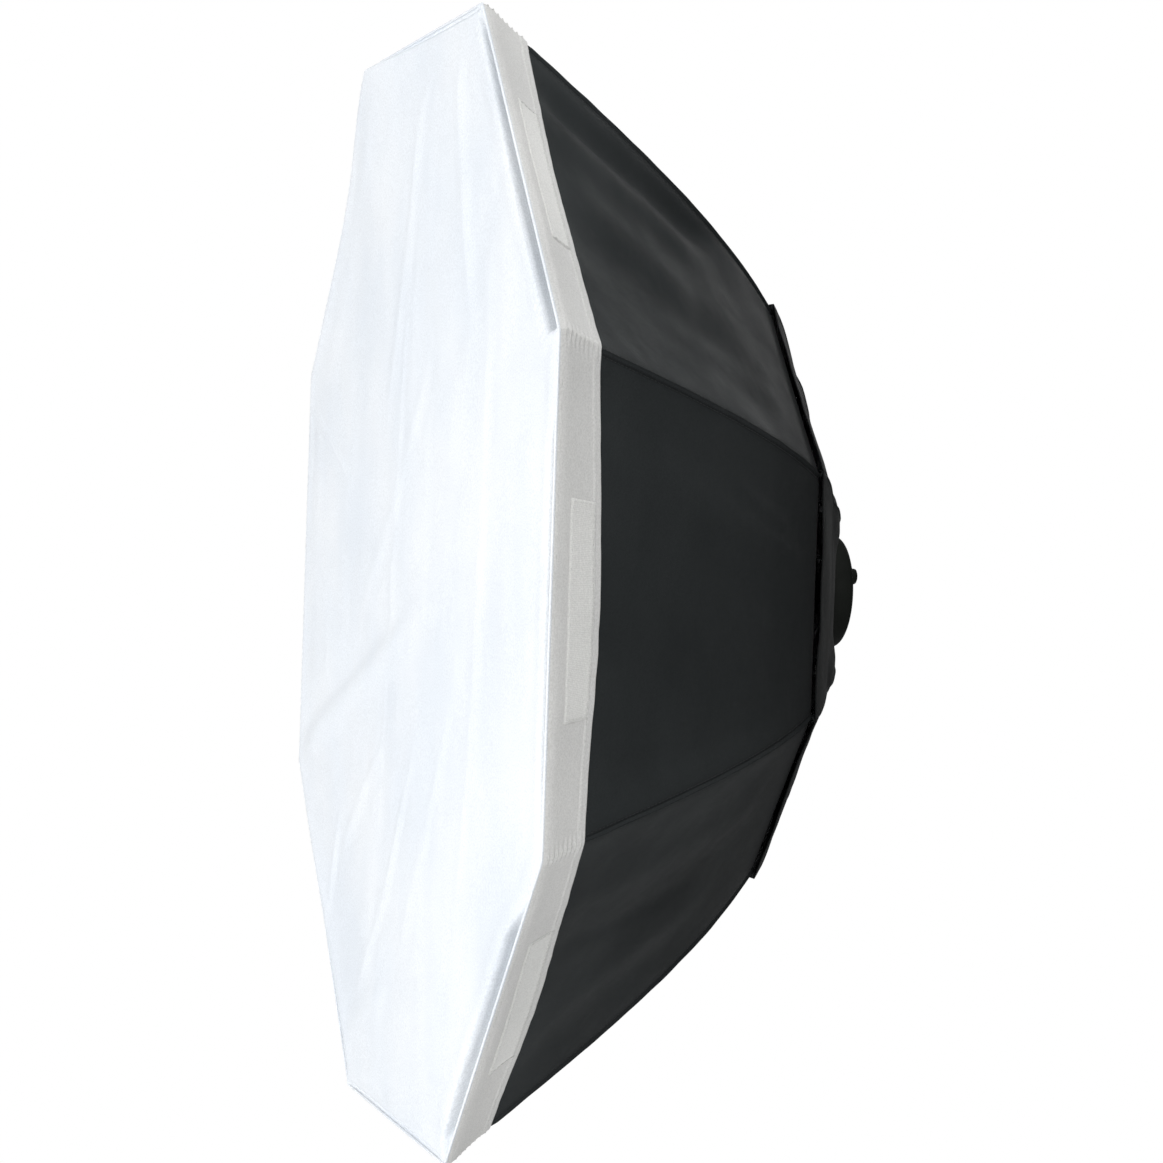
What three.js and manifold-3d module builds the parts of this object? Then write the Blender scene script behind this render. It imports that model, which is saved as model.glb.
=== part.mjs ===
// Octabox: an eight-sided softbox on an umbrella-type folding frame.
//
// Millimetres, +Z up. The lamp axis is Y: the white front faces -Y and the crown cap is at the back.
// Sizes along that axis are depths behind the front face. The whole model is then shifted so that
// the origin lies on the shaft, where a lamp bracket grips it.
//
// Each rib and what goes with it is drawn once, in a plane of its own (X outward from the lamp axis,
// Y depth, Z sideways), and turned about Y to its corner of the octagon.

import * as THREE from 'three';
import * as BufferGeometryUtils from 'three/addons/utils/BufferGeometryUtils.js';
import Module from 'manifold-3d';

const wasm = await Module();
wasm.setup();

// ---------------------------------------------------------------- driving dimensions

const ribCount = 8;
const cornerRadius = 400; // lamp axis to a corner of the front face
const gripDepth = 110; // front face to the middle of the shaft's gripping length

const fabric = 1.0;
const gap = 0.4; // between pieces that touch
const seamGap = 0.3; // from a panel's edge to the seam's own plane

// lengths along a rib, counted from its tip unless they say otherwise
const skirtLength = 38;
const skirtStart = 2.5; // the skirt begins this far back, clear of the face
const shellStart = 4;
const shellLength = 298; // to the shell's rear opening
const ventStart = 9; // counted from the rib's root
const ventOverlap = 5; // the rear cover reaches this far over the shell's rear edge
const ventLift = 7; // and stands this far off it

const ribRadius = 2.5;
const ribInset = 7.5; // outer face of the fabric to the middle of the rib
const crown = { radius: 24, depth: 290.4, slope: 8.2, pull: 174 };
const front = { slope: 53.6, pull: 253 };
const tipInset = 13; // end of a tip cap to the end of the rib's curve
const tipCap = { radius: 4.1, bore: 2.9, length: 22, floor: 3, chamfer: 2 };
const knuckle = { radius: 4, halfWidth: 2, rodStart: 6, overlap: 8 };
const bracket = { length: 14, wall: 2.4, lugStart: 1, headRadius: 3, headLength: 3 };

const pivotHole = 1.8;
const through = 4; // a cut reaches this far past the face it opens
const crownPivot = { radius: 18, depth: 283.6, wire: 1.2, groove: 1.6 };
const hub = { radius: 26, front: 275, slotEnd: 290, back: 296, slotHalf: 3, slotFloor: 11 };
const cap = { radius: 39, rim: 289.8, edge: 307, top: 317, wall: 2, round: 8, bossRadius: 22, bossHalf: 1.5 };

const shaft = { radius: 4, bore: 3, front: 9, back: 294 };
const shaftTip = { radius: 5.5, front: 6, back: 18 };

const runner = {
  pivotRadius: 18, pivotDepth: 222, wire: 1.0, groove: 1.4, flange: 24, sleeve: 8, bore: 4.4,
  front: 177, neck: 215, back: 229, windowFront: 198, windowBack: 206,
};
const stretcher = { offset: 6.4, thickness: 1.6, eye: 3.6, reach: 120, drop: 14 };
const rivet = { radius: 2.6, length: 2 };

const button = {
  radius: 5.5, lift: 11, top: 321.5, flange: 7.5, flangeTop: 308, flangeFloor: 306, stem: 2.6,
};
const spring = { radius: 4.6, wire: 0.6, turns: 5 };
const latch = {
  pivotDepth: 190, pivotHeight: 11.5, width: 6, trunnion: 1.6, thumb: 174, hookFront: 198.6, hookBack: 204.5,
};
const ear = { thickness: 2.4, half: 5, root: 5.2, above: 3 };

// ---------------------------------------------------------------- finishes

function finish(color, roughness, metalness = 0) {
  return new THREE.MeshStandardMaterial({ color, roughness, metalness });
}

const finishes = {
  nylon: finish(0x26292b, 0.55),
  diffuser: finish(0xf4f7fb, 0.7),
  skirt: finish(0xdcdbd6, 0.75),
  moulded: finish(0x2c302e, 0.5),
  steel: finish(0xb9bcc0, 0.3, 1.0),
  darkSteel: finish(0x3a3c3f, 0.4, 1.0),
  rod: finish(0x1b1c1d, 0.45),
};

// ---------------------------------------------------------------- geometry helpers

function toSolid(geometry) {
  const bare = geometry.clone();
  bare.deleteAttribute('normal');
  bare.deleteAttribute('uv');
  const merged = BufferGeometryUtils.mergeVertices(bare, 1e-3);
  return new wasm.Manifold(new wasm.Mesh({
    numProp: 3,
    vertProperties: new Float32Array(merged.attributes.position.array),
    triVerts: new Uint32Array(merged.index.array),
  }));
}

function toGeometry(solid) {
  const mesh = solid.getMesh();
  const geometry = new THREE.BufferGeometry();
  geometry.setAttribute('position', new THREE.BufferAttribute(mesh.vertProperties, 3));
  geometry.setIndex(new THREE.BufferAttribute(mesh.triVerts, 1));
  geometry.computeVertexNormals();
  return geometry;
}

function combine(base, { add = [], cut = [] }) {
  let solid = toSolid(base);
  for (const piece of add) solid = solid.add(toSolid(piece));
  for (const piece of cut) solid = solid.subtract(toSolid(piece));
  return toGeometry(solid);
}

// A turned solid about the lamp axis, from [radius, depth] corners that run front to back outside.
function turned(corners, segments) {
  return new THREE.LatheGeometry(corners.map(([r, y]) => new THREE.Vector2(r, y)), segments);
}

function plate(shape, z0, z1, curveSegments = 6) {
  const geometry = new THREE.ExtrudeGeometry(shape, { depth: z1 - z0, bevelEnabled: false, curveSegments });
  return geometry.translate(0, 0, z0);
}

function box(x0, x1, y0, y1, z0, z1) {
  const geometry = new THREE.BoxGeometry(x1 - x0, y1 - y0, z1 - z0);
  return geometry.translate((x0 + x1) / 2, (y0 + y1) / 2, (z0 + z1) / 2);
}

function disc(radius, segments) {
  const shape = new THREE.Shape();
  for (let i = 0; i < segments; i += 1) {
    const angle = (2 * Math.PI * i) / segments;
    const point = [radius * Math.cos(angle), radius * Math.sin(angle)];
    if (i === 0) shape.moveTo(...point);
    else shape.lineTo(...point);
  }
  return shape;
}

// A bar with round ends, and a hole in each end that asks for one.
function bar(start, end, radius, holes) {
  const turn = Math.atan2(end.y - start.y, end.x - start.x);
  const shape = new THREE.Shape();
  shape.absarc(start.x, start.y, radius, turn + Math.PI / 2, turn + 1.5 * Math.PI, false);
  shape.absarc(end.x, end.y, radius, turn - Math.PI / 2, turn + Math.PI / 2, false);
  shape.closePath();
  for (const centre of holes) {
    const hole = new THREE.Path();
    hole.absarc(centre.x, centre.y, pivotHole, 0, 2 * Math.PI, true);
    shape.holes.push(hole);
  }
  return shape;
}

// One closed solid through a row of cross-sections with equal numbers of corners.
function loft(sections, joinsUp = false) {
  const corners = sections[0].length;
  const steps = joinsUp ? sections.length : sections.length - 1;
  const index = [];
  for (let i = 0; i < steps; i += 1) {
    const here = i * corners;
    const next = ((i + 1) % sections.length) * corners;
    for (let j = 0; j < corners; j += 1) {
      const k = (j + 1) % corners;
      index.push(here + j, next + j, next + k, here + j, next + k, here + k);
    }
  }
  if (!joinsUp) {
    const last = steps * corners;
    for (let j = 1; j < corners - 1; j += 1) {
      index.push(0, j, j + 1, last, last + j + 1, last + j);
    }
  }
  const geometry = new THREE.BufferGeometry();
  const positions = sections.flat().flatMap((point) => point.toArray());
  geometry.setAttribute('position', new THREE.Float32BufferAttribute(positions, 3));
  geometry.setIndex(index);
  geometry.computeVertexNormals();
  return geometry;
}

// ---------------------------------------------------------------- the rib's curve

// Points on the fabric's outer face at the crown and at the front corner, and the rib inside them.
function ribEnd(radius, depth, slope) {
  const angle = THREE.MathUtils.degToRad(slope);
  const along = new THREE.Vector3(Math.cos(angle), -Math.sin(angle), 0);
  const outward = new THREE.Vector3(Math.sin(angle), Math.cos(angle), 0);
  const point = new THREE.Vector3(radius, depth, 0).addScaledVector(outward, -ribInset);
  return { point, along };
}

const ribRoot = ribEnd(crown.radius, crown.depth, crown.slope);
const ribTip = ribEnd(cornerRadius, 0, front.slope);
const ribCurve = new THREE.CubicBezierCurve3(
  ribRoot.point,
  ribRoot.point.clone().addScaledVector(ribRoot.along, crown.pull),
  ribTip.point.clone().addScaledVector(ribTip.along, -front.pull),
  ribTip.point,
);
const ribLength = ribCurve.getLength();

// The place on the rib at a length from its root, moved outward from the middle of the rod.
function onRib(length, outwardBy) {
  const u = length / ribLength;
  const along = ribCurve.getTangentAt(u);
  const outward = new THREE.Vector3(-along.y, along.x, 0);
  return ribCurve.getPointAt(u).addScaledVector(outward, outwardBy);
}

function ribPart(from, to) {
  const points = [];
  const steps = 10;
  for (let i = 0; i <= steps; i += 1) points.push(onRib(from + ((to - from) * i) / steps, 0));
  return new THREE.CatmullRomCurve3(points);
}

// ---------------------------------------------------------------- fabric

const halfPitch = Math.PI / ribCount;

// A panel's cross-section from one rib to the next: a straight strip, square to the panel's middle.
function panelSection(length, outer) {
  const corner = (outwardBy, side) => {
    const point = onRib(length, outwardBy);
    const half = point.x * Math.sin(halfPitch) - seamGap;
    return new THREE.Vector3(point.x * Math.cos(halfPitch), point.y, side * half);
  };
  return [corner(outer, -1), corner(outer - fabric, -1), corner(outer - fabric, 1), corner(outer, 1)];
}

function panel(from, to, steps, outerAt) {
  const sections = [];
  for (let i = 0; i <= steps; i += 1) {
    const length = from + ((to - from) * i) / steps;
    sections.push(panelSection(length, outerAt(length)));
  }
  return loft(sections);
}

const shellBack = ribLength - shellLength;

function shellPanel() {
  const underSkirt = ribInset - fabric - gap;
  return panel(shellBack, ribLength - shellStart, 7, () => underSkirt);
}

function ventPanel() {
  const outer = shellBack + ventOverlap;
  return panel(ventStart, outer, 4, (length) => ribInset + (ventLift * length) / outer);
}

function frontFace() {
  const octagon = plate(disc(cornerRadius, ribCount), 0, fabric);
  return octagon.rotateZ(halfPitch).rotateX(Math.PI / 2).translate(0, fabric, 0);
}

function frontSkirt() {
  const start = ribLength - skirtStart;
  const end = ribLength - skirtLength;
  const inner = ribInset - fabric;
  const outline = [onRib(start, ribInset), onRib(start, inner), onRib(end, inner), onRib(end, ribInset)];
  const sections = [];
  for (let i = 0; i < ribCount; i += 1) {
    const angle = -(2 * i + 1) * halfPitch;
    sections.push(outline.map((point) => point.clone().applyAxisAngle(new THREE.Vector3(0, 1, 0), angle)));
  }
  return loft(sections, true);
}

// ---------------------------------------------------------------- rib, tip cap, bracket, stretcher

const crownEye = new THREE.Vector3(crownPivot.radius, crownPivot.depth, 0);
const runnerEye = new THREE.Vector3(
  Math.sqrt(runner.pivotRadius ** 2 - stretcher.offset ** 2), runner.pivotDepth, 0,
);
const bracketEye = onRib(stretcher.reach, ribInset - stretcher.drop);

function rib() {
  const { radius, halfWidth, rodStart, overlap } = knuckle;
  const rod = new THREE.ExtrudeGeometry(disc(ribRadius, 8), {
    steps: 11, extrudePath: ribPart(rodStart, ribLength - tipInset - tipCap.floor - gap),
  });
  const outline = bar(crownEye, onRib(rodStart + overlap, 0), radius, [crownEye]);
  return combine(plate(outline, -halfWidth, halfWidth, 4), { add: [rod] });
}

// A cup over the rib's end, drawn along Y and then laid along the rib.
function ribTipCap() {
  const { radius, bore, length, floor, chamfer } = tipCap;
  const cup = turned([
    [0, 0], [radius * 0.7, 0], [radius, chamfer], [radius, length], [bore, length], [bore, floor], [0, floor],
  ], 10);
  const end = onRib(ribLength - tipInset, 0);
  const away = onRib(ribLength - tipInset - length, 0).sub(end).normalize();
  const lay = new THREE.Quaternion().setFromUnitVectors(new THREE.Vector3(0, 1, 0), away);
  return cup.applyQuaternion(lay).translate(end.x, end.y, end.z);
}

// A sleeve clamped on the rib, with a lug beside the stretcher's eye.
function ribBracket() {
  const { length, wall, lugStart, headRadius, headLength } = bracket;
  const middle = onRib(stretcher.reach, 0);
  const along = ribCurve.getTangentAt(stretcher.reach / ribLength);
  const lay = new THREE.Quaternion().setFromUnitVectors(new THREE.Vector3(0, 1, 0), along);
  const rod = (radius, reach) => new THREE.CylinderGeometry(radius, radius, reach, 12)
    .applyQuaternion(lay).translate(middle.x, middle.y, 0);
  const sleeve = rod(ribRadius + wall, length);
  const bore = rod(ribRadius + 2 * gap, 2 * length);
  const lugFace = stretcher.offset - stretcher.thickness / 2 - gap;
  const lug = plate(bar(middle, bracketEye, stretcher.eye, []), lugStart, lugFace, 3);
  const head = crossPin(headRadius, headLength, bracketEye, 0);
  return combine(sleeve, { add: [lug, head], cut: [bore] });
}

// A short round pin that lies sideways to the rib's plane.
function crossPin(radius, length, centre, side) {
  const pin = new THREE.CylinderGeometry(radius, radius, length, 10);
  return pin.rotateX(Math.PI / 2).translate(centre.x, centre.y, side);
}

function stretcherBlade() {
  const inner = stretcher.offset - stretcher.thickness / 2;
  const outer = stretcher.offset + stretcher.thickness / 2;
  const blade = plate(bar(runnerEye, bracketEye, stretcher.eye, [runnerEye]), inner, outer, 4);
  const rivetMiddle = outer + 0.4 * rivet.length;
  return combine(blade, { add: [crossPin(rivet.radius, rivet.length, bracketEye, rivetMiddle)] });
}

// ---------------------------------------------------------------- crown

function atEachRib(makeOne) {
  const copies = [];
  for (let i = 0; i < ribCount; i += 1) copies.push(makeOne().rotateY(-(2 * i + 1) * halfPitch));
  return copies;
}

function wireRing(radius, depth, wire) {
  const outline = [];
  const sides = 6;
  for (let i = 0; i <= sides; i += 1) {
    const angle = (2 * Math.PI * i) / sides;
    outline.push([radius + wire * Math.cos(angle), depth + wire * Math.sin(angle)]);
  }
  return turned(outline, 32);
}

function ringGroove(radius, halfWidth, y0, y1) {
  const r0 = radius - halfWidth;
  const r1 = radius + halfWidth;
  return turned([[r0, y0], [r1, y0], [r1, y1], [r0, y1], [r0, y0]], 32);
}

function crownHub() {
  const bore = shaft.radius + gap;
  const body = turned([
    [bore, hub.front], [hub.radius, hub.front], [hub.radius, hub.back], [bore, hub.back], [bore, hub.front],
  ], 32);
  const slots = atEachRib(() => box(
    hub.slotFloor, hub.radius + through, hub.front - through, hub.slotEnd, -hub.slotHalf, hub.slotHalf,
  ));
  const grooveEnd = crownPivot.depth + pivotHole;
  const groove = ringGroove(crownPivot.radius, crownPivot.groove, hub.front - through, grooveEnd);
  return combine(body, { cut: [...slots, groove] });
}

// A low round cover with a rounded edge, hollow, open towards the hub.
function crownCap() {
  const { radius, rim, edge, top, wall, round, bossRadius, bossHalf } = cap;
  const roundStart = edge - 3; // the side wall ends and the rounding starts at this depth
  const outside = [[radius, rim], [radius, roundStart - 2]];
  const steps = 5;
  for (let i = 0; i <= steps; i += 1) {
    const angle = (Math.PI / 2) * (i / steps);
    outside.push([radius - round + round * Math.cos(angle), roundStart + (round - 1) * Math.sin(angle)]);
  }
  outside.push([radius * 0.45, top - 1.2], [0, top]);
  const inside = [
    [0, top - wall - 1], [radius - round - 1, edge + 1], [radius - wall, roundStart - 1],
    [radius - wall, rim], [radius, rim],
  ];
  const shell = turned([...outside, ...inside], 28);
  const boss = ringGroove(bossRadius, bossHalf, hub.back + gap, edge + 3);
  const hole = new THREE.CylinderGeometry(button.radius + gap, button.radius + gap, top - rim, 20)
    .translate(0, top, button.lift);
  return combine(shell, { add: [boss], cut: [hole] });
}

function releaseButton() {
  const { radius, top, flange, flangeTop, flangeFloor, stem, lift } = button;
  return turned([
    [0, flangeFloor - 6], [stem, flangeFloor - 6], [stem, flangeFloor], [flange, flangeFloor],
    [flange, flangeTop], [radius, flangeTop], [radius, top - 1], [radius - 1, top], [0, top],
  ], 20).translate(0, 0, lift);
}

function buttonSpring() {
  const start = hub.back + gap + spring.wire;
  const rise = button.flangeFloor - gap - spring.wire - start;
  const points = [];
  const steps = spring.turns * 10;
  for (let i = 0; i <= steps; i += 1) {
    const angle = (2 * Math.PI * spring.turns * i) / steps;
    const depth = start + (rise * i) / steps;
    points.push(new THREE.Vector3(
      spring.radius * Math.cos(angle), depth, button.lift + spring.radius * Math.sin(angle),
    ));
  }
  return new THREE.ExtrudeGeometry(disc(spring.wire, 5), {
    steps, extrudePath: new THREE.CatmullRomCurve3(points),
  });
}

// ---------------------------------------------------------------- shaft and runner

function shaftTube() {
  const { radius, bore, front: y0, back: y1 } = shaft;
  return turned([[bore, y0], [radius, y0], [radius, y1], [bore, y1], [bore, y0]], 20);
}

function shaftTipCap() {
  const { radius, front: y0, back: y1 } = shaftTip;
  const bore = shaft.radius + gap;
  const floor = shaft.front - gap;
  return turned([
    [0, y0], [radius - 1, y0], [radius, y0 + 1], [radius, y1], [bore, y1], [bore, floor], [0, floor],
  ], 20);
}

function runnerSleeve() {
  const { bore, sleeve, flange, front: y0, neck, back: y1, groove: half, pivotRadius, pivotDepth } = runner;
  const body = turned([
    [bore, y0], [sleeve, y0], [sleeve, neck - 6], [flange, neck], [flange, y1], [bore, y1], [bore, y0],
  ], 32);
  const slots = atEachRib(() => box(
    sleeve + 2, flange + through, neck - 8, y1 + through, stretcher.offset - half, stretcher.offset + half,
  ));
  const groove = ringGroove(pivotRadius, half, pivotDepth - half, y1 + through);
  const inner = latch.width / 2 + gap;
  const ears = [-inner - ear.thickness, inner].map((x) => box(
    x, x + ear.thickness, latch.pivotDepth - ear.half, latch.pivotDepth + ear.half,
    ear.root, latch.pivotHeight + ear.above,
  ));
  const pin = latchPin(latch.trunnion + gap, 2 * (inner + ear.thickness + through));
  const window = box(-inner, inner, runner.windowFront, runner.windowBack, bore - 1, sleeve + through);
  return combine(body, { add: ears, cut: [...slots, groove, pin, window] });
}

function latchPin(radius, length) {
  const pin = new THREE.CylinderGeometry(radius, radius, length, 12).rotateZ(Math.PI / 2);
  return pin.translate(0, latch.pivotDepth, latch.pivotHeight);
}

// A rocking catch: the thumb end is forward, the hook drops through the sleeve's window.
function latchLever() {
  const { pivotDepth, pivotHeight, width, trunnion, thumb, hookFront, hookBack } = latch;
  const underside = pivotHeight - 1.9;
  const hookFoot = shaft.radius + gap + 0.2;
  const side = new THREE.Shape();
  side.moveTo(thumb, pivotHeight + 1.5);
  side.lineTo(pivotDepth - 6, underside);
  side.lineTo(hookFront, underside);
  side.lineTo(hookFront + 1.4, hookFoot);
  side.lineTo(hookBack - 1.1, hookFoot);
  side.lineTo(hookBack, pivotHeight + 1.1);
  side.lineTo(pivotDepth - 4, pivotHeight + 1.9);
  side.lineTo(thumb + 3, pivotHeight + 5.5);
  side.lineTo(thumb, pivotHeight + 4.9);
  side.closePath();
  const lever = plate(side, -width / 2, width / 2);
  lever.applyMatrix4(new THREE.Matrix4().makeBasis(
    new THREE.Vector3(0, 1, 0), new THREE.Vector3(0, 0, 1), new THREE.Vector3(1, 0, 0),
  ));
  return combine(lever, { add: [latchPin(trunnion, width + 5)] });
}

// ---------------------------------------------------------------- assembly

const octabox = new THREE.Group();
octabox.position.y = -gripDepth;

function place(parent, name, geometry, material) {
  const mesh = new THREE.Mesh(geometry, material);
  mesh.name = name;
  parent.add(mesh);
}

const crownWire = wireRing(crownPivot.radius, crownPivot.depth, crownPivot.wire);
const runnerWire = wireRing(runner.pivotRadius, runner.pivotDepth, runner.wire);

place(octabox, 'crown_hub', crownHub(), finishes.moulded);
place(octabox, 'crown_cap', crownCap(), finishes.moulded);
place(octabox, 'crown_pivot_wire', crownWire, finishes.steel);
place(octabox, 'release_button', releaseButton(), finishes.moulded);
place(octabox, 'button_spring', buttonSpring(), finishes.steel);
place(octabox, 'shaft', shaftTube(), finishes.steel);
place(octabox, 'shaft_tip', shaftTipCap(), finishes.moulded);
place(octabox, 'runner', runnerSleeve(), finishes.moulded);
place(octabox, 'runner_pivot_wire', runnerWire, finishes.steel);
place(octabox, 'runner_latch', latchLever(), finishes.moulded);
place(octabox, 'front_diffuser', frontFace(), finishes.diffuser);
place(octabox, 'front_skirt', frontSkirt(), finishes.skirt);

for (let i = 0; i < ribCount; i += 1) {
  const number = i + 1;
  const ribPlane = new THREE.Group();
  ribPlane.rotation.y = -(2 * i + 1) * halfPitch;
  place(ribPlane, `rib_${number}`, rib(), finishes.rod);
  place(ribPlane, `rib_tip_${number}`, ribTipCap(), finishes.moulded);
  place(ribPlane, `rib_bracket_${number}`, ribBracket(), finishes.darkSteel);
  place(ribPlane, `stretcher_${number}`, stretcherBlade(), finishes.darkSteel);

  const panelPlane = new THREE.Group();
  panelPlane.rotation.y = -(2 * i + 2) * halfPitch;
  place(panelPlane, `shell_panel_${number}`, shellPanel(), finishes.nylon);
  place(panelPlane, `vent_panel_${number}`, ventPanel(), finishes.nylon);
  octabox.add(ribPlane, panelPlane);
}

export default octabox;
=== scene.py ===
"""Octabox: the looks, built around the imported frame.

Metres, row frame: the lamp axis is Y, the white front faces -Y, +Z is up. Lengths are worked out
from the CAD nodes' boxes. Lengths along a rib are counted from its root at the crown.
"""

import math
import random

import bmesh
import bpy
import numpy as np
from mathutils import Matrix, Vector, noise


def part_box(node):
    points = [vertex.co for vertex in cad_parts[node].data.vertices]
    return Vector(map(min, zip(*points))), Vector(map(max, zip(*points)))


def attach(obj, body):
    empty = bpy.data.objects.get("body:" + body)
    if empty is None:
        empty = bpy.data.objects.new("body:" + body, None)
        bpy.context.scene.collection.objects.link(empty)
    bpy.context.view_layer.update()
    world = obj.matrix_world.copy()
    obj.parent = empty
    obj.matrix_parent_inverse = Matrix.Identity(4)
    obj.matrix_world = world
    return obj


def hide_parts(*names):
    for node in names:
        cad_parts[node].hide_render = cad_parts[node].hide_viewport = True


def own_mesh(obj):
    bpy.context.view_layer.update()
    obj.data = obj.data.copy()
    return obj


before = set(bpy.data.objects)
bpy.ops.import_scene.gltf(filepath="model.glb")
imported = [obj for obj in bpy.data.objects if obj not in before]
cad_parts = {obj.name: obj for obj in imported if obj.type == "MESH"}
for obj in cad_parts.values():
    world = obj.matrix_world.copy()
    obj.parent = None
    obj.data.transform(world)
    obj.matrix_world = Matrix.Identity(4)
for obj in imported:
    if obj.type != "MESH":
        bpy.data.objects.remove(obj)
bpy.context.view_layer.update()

# -------- sizes from the frame

SIDES = 8
HALF = math.pi / SIDES
MM = 0.001

face_low, face_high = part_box("front_diffuser")
cap_low, cap_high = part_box("crown_cap")
button_low, button_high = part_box("release_button")

FRONT = face_low.y
CORNER = face_high.x / math.cos(HALF)
CAP_RADIUS = cap_high.x
CROWN_POINT = (24 * MM, cap_low.y + 0.6 * MM)  # (radius, y) where the fabric starts at the crown

# slopes of the fabric against the radius, and how far the curve follows each
CROWN_SLOPE, CROWN_PULL = math.radians(8.2), 174 * MM
FRONT_SLOPE, FRONT_PULL = math.radians(53.6), 253 * MM

RIB_INSET = 7.5 * MM  # outer face of the fabric to the middle of a rib
SKIRT_LENGTH = 38 * MM
SHELL_LENGTH = 298 * MM
SHELL_INSET = 1.4 * MM  # the shell's outer face lies this far inside the skirt's
VENT_OVERLAP = 5 * MM
VENT_LIFT = 7 * MM
THIN_CLOTH, THICK_CLOTH = 0.5 * MM, 0.7 * MM
WELT_FOOT = 2.5 * MM  # how far the sides of a rib's welt reach down into the cloth


# -------- the line of the fabric over a rib

def rib_table(steps=2000):
    """Lengths, points and outward directions of the rib's middle line, in its own plane (radius, y)."""
    def end(point, slope):
        along = np.array([math.cos(slope), -math.sin(slope)])
        outward = np.array([math.sin(slope), math.cos(slope)])
        return np.array(point) - RIB_INSET * outward, along

    root, leave = end(CROWN_POINT, CROWN_SLOPE)
    tip, arrive = end((CORNER, FRONT), FRONT_SLOPE)
    control = [root, root + CROWN_PULL * leave, tip - FRONT_PULL * arrive, tip]
    t = np.linspace(0, 1, steps)[:, None]
    points = (
        (1 - t) ** 3 * control[0] + 3 * t * (1 - t) ** 2 * control[1]
        + 3 * t ** 2 * (1 - t) * control[2] + t ** 3 * control[3]
    )
    lengths = np.concatenate([[0], np.cumsum(np.linalg.norm(np.diff(points, axis=0), axis=1))])
    along = np.gradient(points, axis=0)
    along /= np.linalg.norm(along, axis=1)[:, None]
    return lengths, points, np.stack([-along[:, 1], along[:, 0]], axis=1)


RIB_LENGTHS, RIB_POINTS, RIB_OUTWARD = rib_table()
RIB_LENGTH = RIB_LENGTHS[-1]
SHELL_BACK = RIB_LENGTH - SHELL_LENGTH
VENT_EDGE = SHELL_BACK + VENT_OVERLAP


def over_rib(length, out):
    """(radius, y, outward radius part, outward y part) of the point out beyond the rib's middle line."""
    values = [np.interp(length, RIB_LENGTHS, RIB_POINTS[:, i]) for i in (0, 1)]
    normal = [np.interp(length, RIB_LENGTHS, RIB_OUTWARD[:, i]) for i in (0, 1)]
    return values[0] + out * normal[0], values[1] + out * normal[1], normal[0], normal[1]


def turned(radial, side, y, angle):
    """World points from a plane turned by angle about the lamp axis."""
    c, s = math.cos(angle), math.sin(angle)
    return np.stack([radial * c - side * s, y + 0 * radial, radial * s + side * c], axis=-1)


def corner_angle(k):
    """The direction of rib k about the lamp axis."""
    return (2 * k - 1) * HALF


# -------- mesh helpers

def new_object(name, points, faces, materials, uv=None):
    """A smooth object in the scene. uv gives each point's place on the flat cloth, in metres."""
    mesh = bpy.data.meshes.new(name)
    mesh.from_pydata([tuple(p) for p in points], [], faces)
    for material in materials:
        mesh.materials.append(material)
    mesh.polygons.foreach_set("use_smooth", [True] * len(mesh.polygons))
    if uv is not None:
        layer = mesh.uv_layers.new(name="cloth")
        loops = np.array([loop.vertex_index for loop in mesh.loops])
        layer.data.foreach_set("uv", np.asarray(uv, float)[loops].ravel())
    mesh.update()
    obj = bpy.data.objects.new(name, mesh)
    bpy.context.collection.objects.link(obj)
    return obj


def grid_faces(rows, columns, closed=False):
    """Quads of a grid of points stored row by row; closed joins the last column to the first."""
    faces = []
    across = columns if closed else columns - 1
    for i in range(rows - 1):
        for j in range(across):
            k = (j + 1) % columns
            faces.append((i * columns + j, i * columns + k, (i + 1) * columns + k, (i + 1) * columns + j))
    return faces


def thicken(obj, thickness, inner_slot=0, offset=-1.0):
    """Gives a sheet its thickness. The inner face takes the material inner_slot places further on."""
    modifier = obj.modifiers.new("cloth", "SOLIDIFY")
    modifier.thickness = thickness
    modifier.offset = offset
    modifier.use_even_offset = False
    modifier.material_offset = inner_slot
    return obj


def apply_modifiers(obj):
    """Replaces the mesh with the one its modifiers make."""
    graph = bpy.context.evaluated_depsgraph_get()
    mesh = bpy.data.meshes.new_from_object(obj.evaluated_get(graph))
    obj.modifiers.clear()
    obj.data = mesh
    return obj


def waves(points, scale, seed):
    """Smooth noise, about -1 to 1, at each point."""
    shift = Vector((17.3 * seed, -9.1 * seed, 4.7 * seed))
    return np.array([noise.noise(Vector(p) * scale + shift) for p in points])


def ridge(distance, width):
    """A soft fold: 1 on its crest, falling away over about width."""
    return np.exp(-(distance / width) ** 2)


def fold(u, v, start, end, *sizes):
    """Height of one fold along the line from start to end in (u, v), fading out at both ends.

    The sizes are its width, height and bend in millimetres.
    """
    width, height, bend = (size * MM for size in sizes)
    ax, ay = start
    bx, by = end
    dx, dy = bx - ax, by - ay
    reach = math.hypot(dx, dy)
    along = ((u - ax) * dx + (v - ay) * dy) / reach
    across = ((v - ay) * dx - (u - ax) * dy) / reach
    share = np.clip(along / reach, 0, 1)
    across = across - bend * np.sin(math.pi * share)
    fade = np.clip(np.minimum(along, reach - along) / (0.3 * reach) + 0.35, 0, 1)
    fade = fade * fade * (3 - 2 * fade)
    return height * fade * (ridge(across, width) - 0.45 * ridge(across - 1.7 * width, 1.2 * width))


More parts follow.
